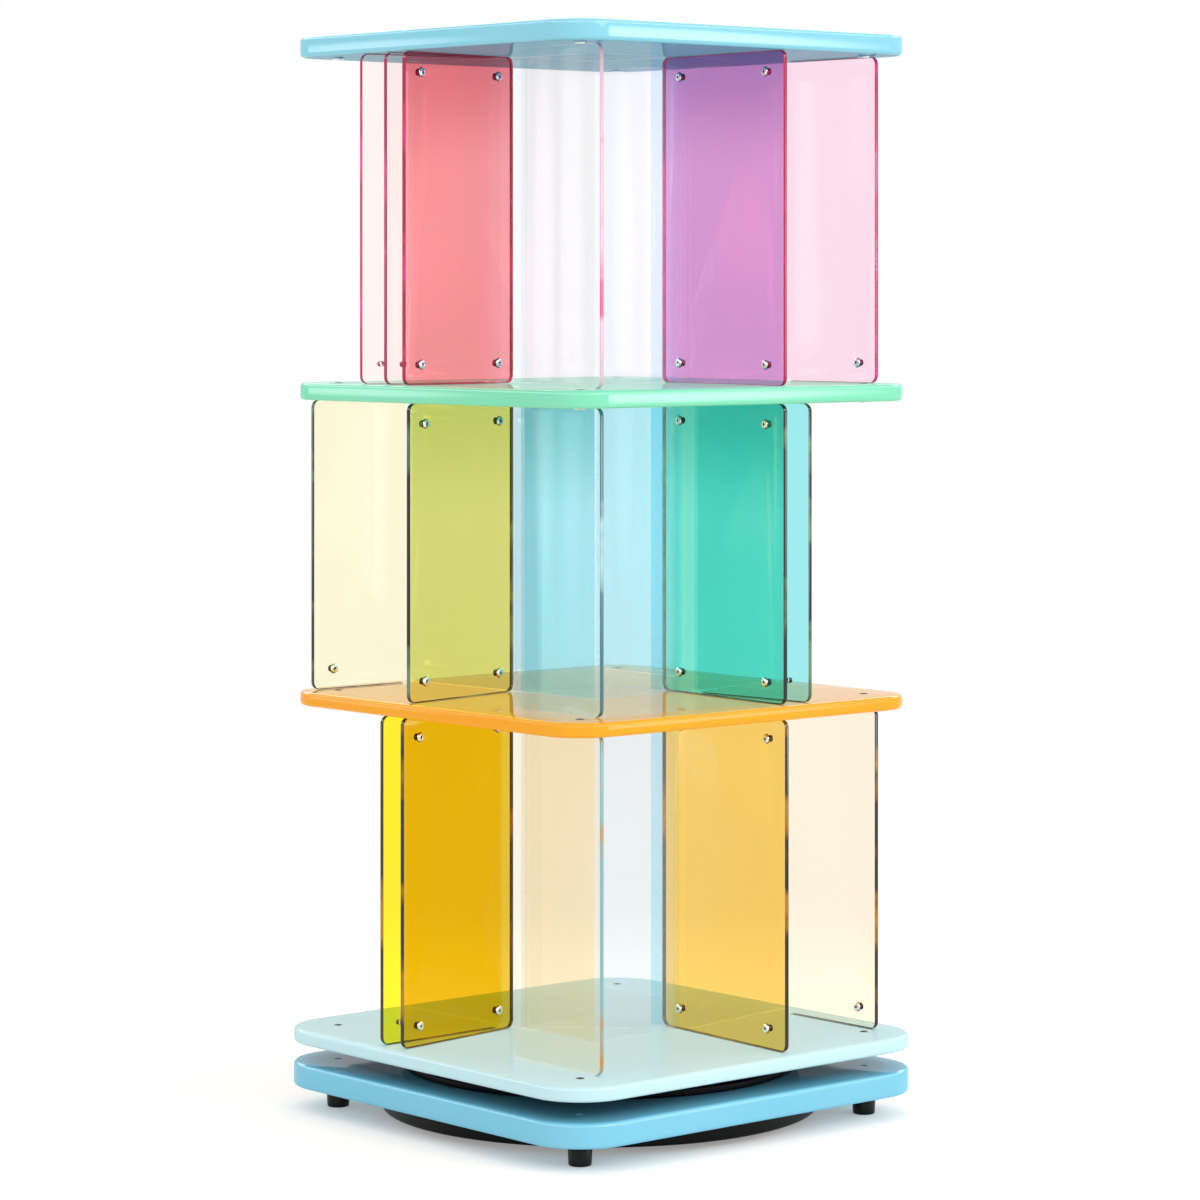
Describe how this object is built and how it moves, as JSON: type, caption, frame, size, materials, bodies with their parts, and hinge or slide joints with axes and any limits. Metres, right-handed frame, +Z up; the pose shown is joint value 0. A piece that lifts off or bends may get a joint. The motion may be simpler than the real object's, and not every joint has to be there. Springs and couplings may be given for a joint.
{
  "type": "rotating book tower",
  "caption": "Square rotating book tower: tinted acrylic dividers stand in a pinwheel between bright lacquered boards, over a round turntable and a footed base.",
  "frame": {"origin": "on the floor, under the turning axis, at the middle of the feet", "axes": "+Z up along the turning axis, -Y the front, -X the left side; the boards' sides are parallel to X and Y"},
  "size_m": [0.415, 0.415, 0.95],
  "materials": {
    "amber_acrylic": "polished, transparent",
    "base_lacquer": "high-gloss lacquer on board",
    "bearing_steel": "bare steel",
    "black_rubber": "matt",
    "black_steel": "semi-gloss black paint",
    "clear_acrylic": "polished, transparent",
    "coral_acrylic": "polished, transparent",
    "cream_acrylic": "polished, transparent",
    "cyan_acrylic": "polished, transparent",
    "green_lacquer": "high-gloss lacquer on board",
    "honey_acrylic": "polished, transparent",
    "ice_acrylic": "polished, transparent",
    "ice_lacquer": "high-gloss lacquer on board",
    "olive_acrylic": "polished, transparent",
    "orange_lacquer": "high-gloss lacquer on board",
    "pink_acrylic": "polished, transparent",
    "sky_lacquer": "high-gloss lacquer on board",
    "teal_acrylic": "polished, transparent",
    "violet_acrylic": "polished, transparent",
    "yellow_acrylic": "polished, transparent"
  },
  "bodies": {
    "base": {"base_plate": "base_lacquer", "ballast_disc": "black_steel", "turntable_lower_disc": "black_steel", "pivot_pin": "bearing_steel", "foot_front_left": "black_rubber", "foot_front_right": "black_rubber", "foot_back_left": "black_rubber", "foot_back_right": "black_rubber"},
    "cage": {"ball_cage": "bearing_steel"},
    "tower": {"bottom_back_stop": "clear_acrylic", "bottom_back_vane": "clear_acrylic", "bottom_core_back_sheet": "clear_acrylic", "bottom_core_front_sheet": "clear_acrylic", "bottom_core_web": "clear_acrylic", "bottom_end_panel": "cream_acrylic", "bottom_front_stop": "cream_acrylic", "bottom_front_vane": "honey_acrylic", "bottom_joint_strip": "ice_acrylic", "bottom_left_divider": "yellow_acrylic", "bottom_left_vane": "amber_acrylic", "bottom_right_vane": "clear_acrylic", "middle_back_stop": "cyan_acrylic", "middle_back_vane": "cyan_acrylic", "middle_core_back_sheet": "clear_acrylic", "middle_core_front_sheet": "clear_acrylic", "middle_core_web": "clear_acrylic", "middle_end_panel": "cream_acrylic", "middle_front_divider": "cyan_acrylic", "middle_front_stop": "cyan_acrylic", "middle_front_vane": "teal_acrylic", "middle_joint_strip": "ice_acrylic", "middle_left_vane": "olive_acrylic", "middle_right_vane": "clear_acrylic", "top_back_stop": "clear_acrylic", "top_back_vane": "clear_acrylic", "top_core_back_sheet": "clear_acrylic", "top_core_front_sheet": "clear_acrylic", "top_core_web": "clear_acrylic", "top_end_panel": "pink_acrylic", "top_front_stop": "clear_acrylic", "top_front_vane": "violet_acrylic", "top_joint_strip": "ice_acrylic", "top_left_divider": "pink_acrylic", "top_left_vane": "coral_acrylic", "top_outer_divider": "pink_acrylic", "top_right_vane": "pink_acrylic", "turning_floor": "ice_lacquer", "lower_shelf": "orange_lacquer", "upper_shelf": "green_lacquer", "top_board": "sky_lacquer", "turntable_upper_disc": "black_steel"}
  },
  "joints": [
    {"name": "tower_turn", "type": "hinge", "parent": "base", "child": "tower", "pos_m": [0, 0, 0.05], "axis": [0, 0, 1], "continuous": true},
    {"name": "cage_turn", "type": "hinge", "parent": "base", "child": "cage", "pos_m": [0, 0, 0.05], "axis": [0, 0, 1], "continuous": true}
  ],
  "couplings": [
    {"joint": "cage_turn", "follows": "tower_turn", "ratio": 0.5}
  ]
}
